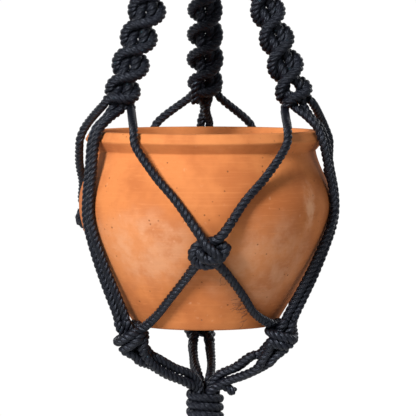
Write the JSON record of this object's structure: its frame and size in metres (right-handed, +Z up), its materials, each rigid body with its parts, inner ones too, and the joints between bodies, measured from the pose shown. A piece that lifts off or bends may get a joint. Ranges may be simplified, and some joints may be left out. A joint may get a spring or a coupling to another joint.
{
  "type": "hanging macrame planter",
  "caption": "Knotted rope hanger on a metal ring, with flat knotted arms, a net of cords and a tassel, holding a belly-shaped clay pot.",
  "frame": {"origin": "the point inside the top of the hanging ring that a hook bears on", "axes": "+Z up, against the pull of the load; the ring lies in the XZ plane, with -Y the side that the front crossing knot faces"},
  "size_m": [0.2285, 0.2332, 0.7747],
  "materials": {
    "ring_steel": "satin, lightly polished round wire",
    "terracotta": "matt fired clay, unglazed",
    "rope": "three-strand twisted rope, silky",
    "wrap_rope": "three-strand twisted rope, silky, wound close"
  },
  "bodies": {
    "ring": {"hanging_ring": "ring_steel"},
    "hanger": {"fold_left": "rope", "fold_centre": "rope", "fold_right": "rope", "top_wrap": "wrap_rope", "arm_left": "rope", "arm_right": "rope", "arm_back": "rope", "front_crossing_knot": "rope", "back_right_crossing_knot": "rope", "back_left_crossing_knot": "rope", "left_lower_knot": "rope", "right_lower_knot": "rope", "back_lower_knot": "rope", "left_to_front_cord": "rope", "front_to_left_cord": "rope", "right_to_front_cord": "rope", "front_to_right_cord": "rope", "right_to_back_right_cord": "rope", "back_right_to_right_cord": "rope", "back_to_back_right_cord": "rope", "back_right_to_back_cord": "rope", "back_to_back_left_cord": "rope", "back_left_to_back_cord": "rope", "left_to_back_left_cord": "rope", "back_left_to_left_cord": "rope", "left_side_cord_1": "rope", "left_side_cord_2": "rope", "left_cradle_cord_1": "rope", "left_cradle_cord_2": "rope", "left_cradle_cord_3": "rope", "left_cradle_cord_4": "rope", "right_side_cord_1": "rope", "right_side_cord_2": "rope", "right_cradle_cord_1": "rope", "right_cradle_cord_2": "rope", "right_cradle_cord_3": "rope", "right_cradle_cord_4": "rope", "back_side_cord_1": "rope", "back_side_cord_2": "rope", "back_cradle_cord_1": "rope", "back_cradle_cord_2": "rope", "back_cradle_cord_3": "rope", "back_cradle_cord_4": "rope", "bottom_wrap": "wrap_rope", "tassel_cord_1": "rope", "tassel_cord_2": "rope", "tassel_cord_3": "rope", "tassel_cord_4": "rope", "tassel_cord_5": "rope", "tassel_cord_6": "rope", "tassel_cord_7": "rope", "tassel_cord_8": "rope", "tassel_cord_9": "rope", "tassel_cord_10": "rope", "tassel_cord_11": "rope", "tassel_cord_12": "rope"},
    "pot": {"pot": "terracotta"}
  },
  "joints": [
    {"name": "hanger_swing", "type": "hinge", "parent": "ring", "child": "hanger", "pos_m": [0, 0, -0.053], "axis": [1, 0, 0], "range_deg": [-25, 25]},
    {"name": "pot_turn", "type": "hinge", "parent": "hanger", "child": "pot", "pos_m": [0, 0, -0.455], "axis": [0, 0, 1], "continuous": true}
  ]
}
